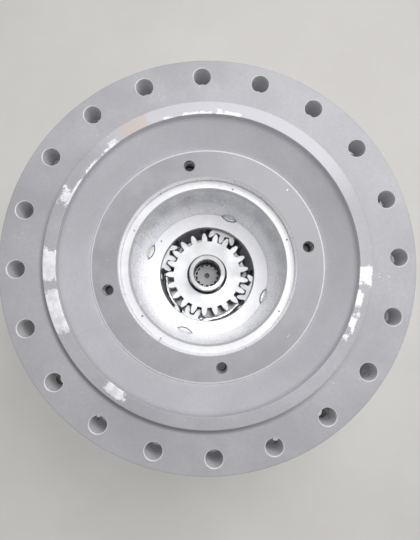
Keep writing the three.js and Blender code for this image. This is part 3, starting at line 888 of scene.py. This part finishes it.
def make_final_carrier():
    """The fixed carrier under the spindle's nose, with a counterbore for each bolt head."""
    low, high = heights("final_carrier")
    outer = outer_r("final_carrier")
    bore_r = 90
    carrier = lathe("final_planet_carrier", [
        (bore_r, low, 1.5), (outer, low, 2.5), (outer, high, 1.5), (bore_r, high, 0.9, 2)])
    pocketed(carrier, FINAL, 192, 286, 23.75, low, high)
    tools = []
    for centre in spots(CARRIER_BOLTS):
        tools.append(drill(centre, 10.2, low, high, 0.8))
        tools.append(drill(centre, 16.2, low - 1, low + 17, 0.8, through=False))
    combine(carrier, tools)
    dress(carrier, "spindle", "carrier_steel", CARRIER_STEEL, "final_carrier")


def carrier_bolt(number, centre):
    """A socket head screw, with its head down."""
    node = f"carrier_bolt_{number}"
    low, high = heights(node)
    head_r, shank_r = 15, 9.7
    head_top = low + 14.7
    bolt = lathe(f"carrier_screw_{number}", [
        (0, low), (head_r, low, 1.2), (head_r, head_top, 0.4), (shank_r, head_top, 0.6, 2),
        (shank_r, high, 1.5), (0, high)], MEDIUM, centre)
    combine(bolt, [socket(centre, low)])
    dress(bolt, "spindle", "black_oxide", BLACK, node)


def make_final_sun():
    """The hollow sun, with a thrust collar below its teeth and a neck that the second carrier drives."""
    low, top = heights("final_sun")
    teeth_low = 195
    collar_low, collar_top, collar_r = 181, 192.8, 85.3
    neck_r, bore_r = 51.6, 37.5
    teeth = gear_outline(FINAL["sun"], FINAL["module"], meshing(FINAL)["sun"])
    wheel = prism("final_sun_gear", [teeth], teeth_low, top, 0.9)
    neck = lathe("neck", [(0, low), (neck_r, low, 1.5), (neck_r, teeth_low + 2), (0, teeth_low + 2)], MEDIUM)
    collar = lathe("collar", [
        (0, collar_low), (collar_r, collar_low, 1.0), (collar_r, collar_top, 1.5, 2), (0, collar_top)], 192)
    combine(wheel, [neck], "UNION")
    combine(wheel, [collar], "UNION")
    bore = lathe("bore", [
        (0, low - 1), (bore_r + 2.5, low - 1), (bore_r, low + 1.5), (bore_r, top - 1.2),
        (bore_r + 2, top + 0.8), (0, top + 0.8)], MEDIUM)
    combine(wheel, [bore])
    dress(wheel, "second_carrier_group", "gear_steel", GEAR, "final_sun")


def ring_gear(stage, node, name):
    """A ring gear with its teeth inside, clamped between the hub and the cover by the long bolts."""
    low, high = heights(node)
    outer = outer_r(node)
    teeth = gear_outline(stage["ring"], stage["module"], meshing(stage)["ring"], inner=True)
    holes = [circle(COVER_BOLTS["radius"] + 0.6, 24, centre) for centre in spots(COVER_BOLTS)]
    ring = prism(name, [circle(outer, FINE), teeth, *holes], low, high, 1.1)

    def zones(r, z, up):
        if r > outer - 2:
            return "outside"
        return "end" if abs(up) > 0.9 else "teeth"

    looks = {"teeth": OIL_AND_SHADE_DARK, "outside": HUB_PAINT, "end": TURNED}
    dress(ring, "hub", "cast_iron", looks, node, zones=zones)


def make_second_stage():
    low, high = heights("second_carrier")
    outer = outer_r("second_carrier")
    room_low, room_high = 94, 142
    carrier = lathe("second_planet_carrier", [
        (52, room_high, 0.8), (72, room_high), (72, low, 1), (outer, low, 2), (outer, high, 2),
        (52, high, 1)])
    pocketed(carrier, SECOND, room_low, room_high, 18.25, low, high)
    dress(carrier, "second_carrier_group", "carrier_steel", TURNED, "second_carrier")
    make_planets(SECOND, "second", "second_pin", "second_carrier_group")
    make_second_sun()
    ring_gear(SECOND, "input_ring_gear", "input_stage_ring")


def make_second_sun():
    """The second sun, with a neck that the first carrier drives."""
    low, top = heights("second_sun")
    teeth_low, neck_r = 90, 39.6
    teeth = gear_outline(SECOND["sun"], SECOND["module"], meshing(SECOND)["sun"])
    wheel = prism("second_sun_gear", [teeth], teeth_low, top, 0.8)
    neck = lathe("neck", [(0, low), (neck_r, low, 1.2), (neck_r, teeth_low + 2), (0, teeth_low + 2)], MEDIUM)
    combine(wheel, [neck], "UNION")
    combine(wheel, [drill((0, 0), 28, low, top, 1.0, segments=MEDIUM)])
    dress(wheel, "first_carrier_group", "gear_steel", GEAR, "second_sun")


def make_first_stage():
    """The first carrier, whose pins are forged with it, and its planets."""
    low, high = heights("first_carrier")
    outer = outer_r("first_carrier")
    plate_low = 56
    pin_r = FIRST["pin"]
    carrier = prism("first_planet_carrier", [circle(outer, 160), circle(40, MEDIUM)], plate_low, high, 1.2)
    pin = [(0, low), (pin_r, low, 1.2), (pin_r, plate_low + 2), (0, plate_low + 2)]
    combine(carrier, [lathe("pin", pin, MEDIUM, centre) for centre in axles(FIRST)], "UNION")
    dress(carrier, "first_carrier_group", "carrier_steel", TURNED, "first_carrier")
    make_planets(FIRST, "first")


def make_input():
    """The input shaft with its sun, and the sleeve that couples it to the motor."""
    low, top = heights("input_shaft")
    sun_top, spline_low = 55, 235
    teeth = gear_outline(FIRST["sun"], FIRST["module"], meshing(FIRST)["sun"])
    shaft = prism("input_gear_shaft", [teeth], low, sun_top, 0.8)
    stem = lathe("stem", [
        (0, sun_top - 2), (25, sun_top - 2), (25, sun_top), (21, sun_top + 5, 1, 3),
        (21, spline_low + 1, 1.0), (0, spline_low + 1)], MEDIUM)
    spline = prism("spline", [lobed_outline(14, 19.4, 22.2)], spline_low, top, 0.7)
    combine(shaft, [stem], "UNION")
    combine(shaft, [spline], "UNION")
    centre_drill = lathe("centre", [
        (0, top - 13), (1.7, top - 12), (1.7, top - 6), (5.0, top - 0.4), (5.6, top + 0.5),
        (0, top + 0.5)], SMALL)
    combine(shaft, [centre_drill])
    dress(shaft, "input_group", "sleeve_steel", SHAFT_STEEL, "input_shaft")
    make_sleeve()


def make_sleeve():
    """The round sleeve on the input shaft, with the splined socket for the motor's shaft."""
    foot, mouth = heights("coupling_sleeve")
    outer = outer_r("coupling_sleeve")
    shaft_r, relief_r, mouth_r = 22.8, 24.4, 25.4
    socket_low = 256
    sleeve = lathe("splined_sleeve", [
        (shaft_r, foot, 0.8), (outer, foot, 1.5), (outer, mouth, 1.8, 3), (mouth_r, mouth, 0.5),
        (mouth_r, mouth - 8, 0.5), (relief_r, mouth - 8), (relief_r, socket_low),
        (shaft_r, socket_low)], MEDIUM)
    combine(sleeve, [prism("teeth", [spline_outline(24, 23.8, mouth_r)], socket_low + 1, mouth - 7, 0.2)])

    def zones(r, z, up):
        return "socket" if r < mouth_r + 0.2 and z < mouth - 0.6 else "outside"

    # The socket is nearly black: a film of oil, and painted shade in the deep splines.
    looks = {"outside": SLEEVE_STEEL, "socket": OIL_AND_SHADE_DARK}
    dress(sleeve, "input_group", "sleeve_steel", looks, "coupling_sleeve", zones=zones)


# ---- Hub and cover ----

def make_hub():
    """The turning housing with the flange that carries the sprocket."""
    low, high = heights("sprocket_hub")
    flange_r = outer_r("sprocket_hub")
    flange_low, flange_top = 394, 424
    race_r, shoulder_r = 202.3, 192
    hub = lathe("sprocket_carrier_hub", [
        (race_r, low, 1.5), (238, low, 1.2), (238, flange_low, 7, 6), (flange_r, flange_low, 2),
        (flange_r, flange_top, 2), (257, 430, 6, 5), (257, high, 2.5, 3), (246, high, 1.2), (246, 453, 1.0),
        (232.5, 453, 1.2), (232.5, 437, 2, 3), (209, 437, 1), (209, 432), (race_r, 432, 1.2),
        (race_r, 387.7, 1, 3), (shoulder_r, 387.7, 1), (shoulder_r, 349.3, 1), (race_r, 349.3, 1, 3)])
    tools = drills(SPROCKET_BOLTS, flange_low, flange_top + 4.0, 1.2)
    hole_r = COVER_BOLTS["radius"] + 0.1
    hole = [(0, low - 1), (hole_r + 1.4, low - 1), (hole_r, low + 1.0), (hole_r, low + 22), (0, low + 24)]
    tools += [lathe("hole", hole, 24, centre) for centre in spots(COVER_BOLTS)]
    combine(hub, tools)

    def zones(r, z, up):
        if r < 210 or z < low + 0.5:
            return "turned"
        if flange_low - 0.5 < z < flange_low + 2 and r > 243:
            return "sprocket face"
        return "outside"

    looks = {"outside": HUB_PAINT, "turned": TURNED, "sprocket face": SMOOTH_PAINT}
    dress(hub, "hub", "hub_paint", looks, "sprocket_hub", zones=zones)


def make_cover():
    """The end cover that the gearbox stands on, its plugs, its thrust pad and the long bolts."""
    top = high_z("end_cover")
    outer = outer_r("end_cover")
    foot_r, pad_r, plug_circle = 198, 20, 150
    cover = lathe("end_cover_plate", [
        (0, 0), (60, 0), (63, 1.6), (92, 1.6), (95, 0), (foot_r, 0, 3, 4), (foot_r, COVER_RIM_Z, 2, 4),
        (outer, COVER_RIM_Z, 1.2), (outer, top, 1.0), (pad_r + 0.3, top, 0.5), (pad_r + 0.3, top - 4),
        (0, top - 4)])
    tools = drills({**COVER_BOLTS, "radius": 8.4}, COVER_RIM_Z, top, 0.8)
    plugs = {"fill_plug": polar(plug_circle, 90), "drain_plug": polar(plug_circle, 270)}
    for centre in plugs.values():
        tools.append(drill(centre, 15.3, 0, top, 0.8))
    combine(cover, tools)

    def zones(r, z, up):
        return "top" if up > 0.9 else "outside"

    dress(cover, "hub", "hub_paint", {"outside": HUB_PAINT, "top": TURNED}, "end_cover", zones=zones)

    for node, centre in plugs.items():
        low, high = heights(node)
        plug = lathe(f"{node}_screw", [(0, low), (15, low, 1.0), (15, high, 1.0), (0, high)], MEDIUM, centre)
        combine(plug, [socket(centre, low)])
        dress(plug, "hub", "black_oxide", BLACK, node)

    low, high = heights("thrust_pad")
    pad = lathe("thrust_disc", [(0, low), (pad_r, low, 0.6), (pad_r, high, 0.8), (0, high)], MEDIUM)
    dress(pad, "hub", "bronze", BRONZE, "thrust_pad")
    for i, centre in enumerate(spots(COVER_BOLTS)):
        cover_bolt(i + 1, centre)


def cover_bolt(number, centre):
    """A long hexagon bolt, head down, with a chamfered head and a washer face under it."""
    node = f"cover_bolt_{number}"
    low, high = heights(node)
    head_r, washer_r, shank_r = 13.8, 11.6, 7.6
    washer_top = COVER_RIM_Z - FACE_GAP
    head_top = washer_top - 0.8
    bolt = prism(f"long_bolt_{number}", [circle(head_r, 6, centre)], low, head_top, 0.05)
    cone = [(0, low), (10.9, low, 0.3), (head_r + 0.1, low + 1.8), (head_r + 0.1, head_top), (0, head_top)]
    combine(bolt, [lathe("cone", cone, 48, centre)], "INTERSECT")
    shank = lathe("shank", [
        (0, washer_top - 2), (washer_r, washer_top - 2), (washer_r, washer_top, 0.2),
        (shank_r, washer_top, 0.5, 2), (shank_r, high, 1.4), (0, high)], SMALL, centre)
    combine(bolt, [shank], "UNION")
    dress(bolt, "hub", "black_oxide", BLACK, node)


# ---- Stage ----

def area_light(name, place, target, size, power):
    data = bpy.data.lights.new(name, "AREA")
    data.shape = "DISK"
    data.size = size
    data.energy = power
    lamp = bpy.data.objects.new(name, data)
    bpy.context.scene.collection.objects.link(lamp)
    lamp.location = place
    lamp.rotation_euler = (Vector(target) - Vector(place)).to_track_quat("-Z", "Y").to_euler()


def make_stage():
    half = 6000
    corners = [(-half, -half, 0), (half, -half, 0), (half, half, 0), (-half, half, 0)]
    floor = new_object("floor", corners, [(0, 1, 2, 3)])
    if floor.data.polygons[0].normal.z < 0:
        floor.data.flip_normals()
    floor.data.materials.append(pale_floor("floor_finish"))
    world = bpy.data.worlds.new("studio")
    bpy.context.scene.world = world
    world.use_nodes = True
    world.node_tree.nodes["Background"].inputs["Color"].default_value = (0.97, 0.98, 1.0, 1.0)
    world.node_tree.nodes["Background"].inputs["Strength"].default_value = 0.38
    middle = (0, 0, 0.45)
    area_light("key", (0.20, 0.24, 6.5), middle, 0.5, 115)
    area_light("side", (0.38, 0.44, 1.62), middle, 0.8, 11)


def make_camera():
    """A wide lens close above the flange, looking down into the well."""
    data = bpy.data.cameras.new("camera")
    data.lens = 30.0
    data.sensor_width = 36.0
    data.shift_x = 0.0057
    data.shift_y = 0.0254
    camera = bpy.data.objects.new("camera", data)
    bpy.context.scene.collection.objects.link(camera)
    above_flange = 0.6534
    camera.location = (-0.0061, -0.0678, FLANGE_Z * MM + above_flange)
    camera.rotation_euler = (math.radians(3.298), math.radians(-0.382), 0.0)
    bpy.context.scene.camera = camera


make_camera()
make_stage()
make_spindle()
make_bearing("upper", "upper_balls")
make_bearing("lower", "lower_balls")
make_seal("fixed", "spindle", 1)
make_seal("rotating", "hub", -1)
make_final_stage()
make_second_stage()
make_first_stage()
make_input()
make_hub()
make_cover()

bpy.context.scene.view_settings.view_transform = "Standard"
